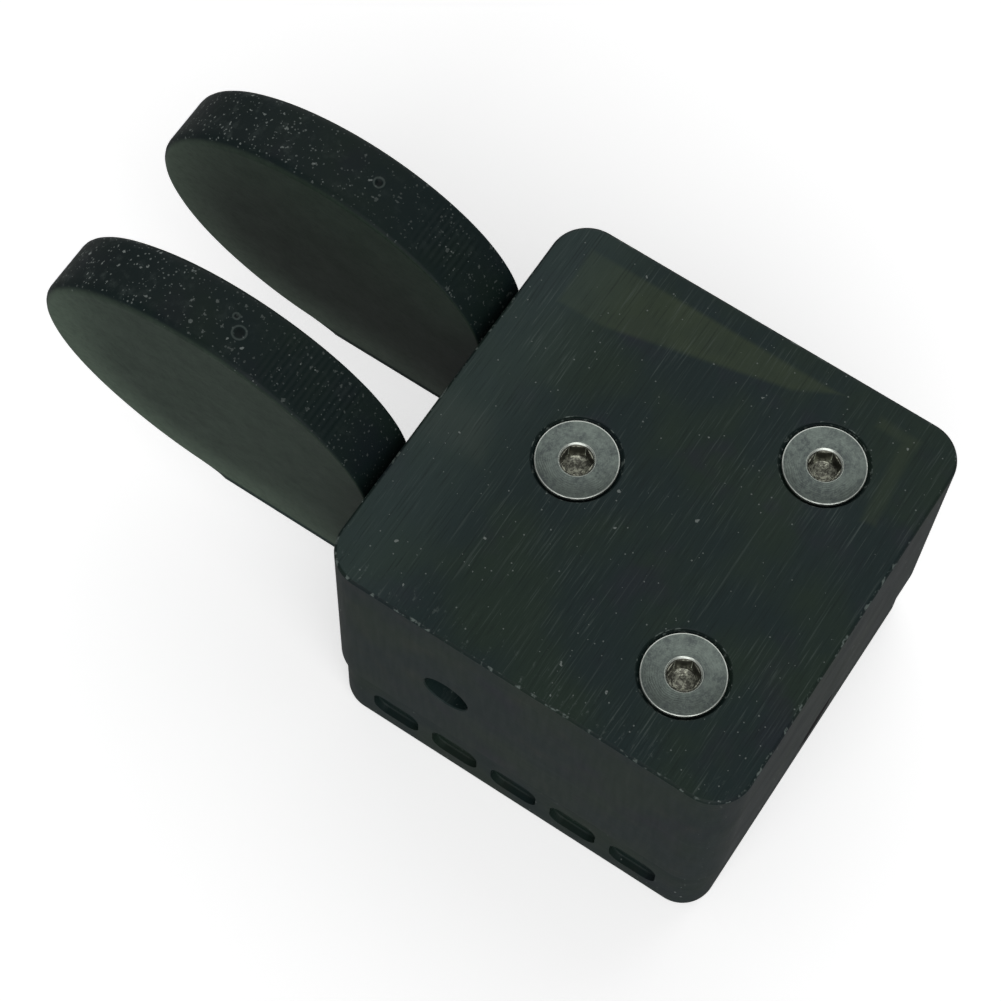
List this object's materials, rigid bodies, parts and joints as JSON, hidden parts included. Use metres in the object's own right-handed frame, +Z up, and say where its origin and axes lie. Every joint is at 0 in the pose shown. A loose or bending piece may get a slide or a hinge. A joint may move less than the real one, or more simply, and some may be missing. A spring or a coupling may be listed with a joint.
{
  "type": "twin-lever Morse paddle key",
  "caption": "Pocket twin-lever Morse paddle key: square resin housing, oval finger pads on sprung levers, adjustable contacts and a rear jack socket.",
  "frame": {"origin": "middle of the base's underside, on the surface that the key stands on", "axes": "+Z up, -Y towards the finger pads, +Y towards the jack, +X to the operator's left when the pads point at the operator"},
  "size_m": [0.031, 0.0587, 0.0321],
  "materials": {
    "resin": "satin",
    "lever_resin": "satin",
    "steel": "satin",
    "brass": "satin",
    "nickel": "satin",
    "nylon": "matte",
    "black_plastic": "gloss",
    "red_insulation": "gloss",
    "white_insulation": "gloss",
    "black_insulation": "gloss"
  },
  "bodies": {
    "housing": {"cover": "resin", "base": "resin", "screw_front": "steel", "screw_rear_left": "steel", "screw_rear_right": "steel", "screw_insert_front": "brass", "screw_insert_rear_left": "brass", "screw_insert_rear_right": "brass", "solder_tag_common": "brass", "contact_post": "brass", "pivot_washer_left": "nylon", "pivot_washer_right": "nylon", "jack_body": "black_plastic", "jack_contact_ring": "nickel", "jack_terminal_left": "nickel", "jack_terminal_right": "nickel", "jack_terminal_common": "nickel", "wire_left": "red_insulation", "wire_right": "white_insulation", "wire_common": "black_insulation"},
    "left_lever": {"lever_left": "lever_resin", "pivot_sleeve_left": "brass", "contact_insert_left": "brass", "solder_tag_left": "brass", "magnet_left": "nickel"},
    "right_lever": {"lever_right": "lever_resin", "pivot_sleeve_right": "brass", "contact_insert_right": "brass", "solder_tag_right": "brass", "magnet_right": "nickel"},
    "left_contact_screw": {"contact_screw_left": "steel"},
    "right_contact_screw": {"contact_screw_right": "steel"}
  },
  "joints": [
    {"name": "left_lever_press", "type": "hinge", "parent": "housing", "child": "left_lever", "pos_m": [-0.00882, 0.00821, 0.017], "axis": [0, 0, 1], "range_deg": [0, 1.24], "stiffness_Nm_per_rad": 0.05, "springref_deg": -8.25},
    {"name": "right_lever_press", "type": "hinge", "parent": "housing", "child": "right_lever", "pos_m": [0.00882, 0.00821, 0.017], "axis": [0, 0, -1], "range_deg": [0, 1.24], "stiffness_Nm_per_rad": 0.05, "springref_deg": -8.25},
    {"name": "left_contact_adjust", "type": "slide", "parent": "left_lever", "child": "left_contact_screw", "axis": [-1, 0, 0], "range_m": [0, 0.001]},
    {"name": "right_contact_adjust", "type": "slide", "parent": "right_lever", "child": "right_contact_screw", "axis": [1, 0, 0], "range_m": [0, 0.001]}
  ]
}
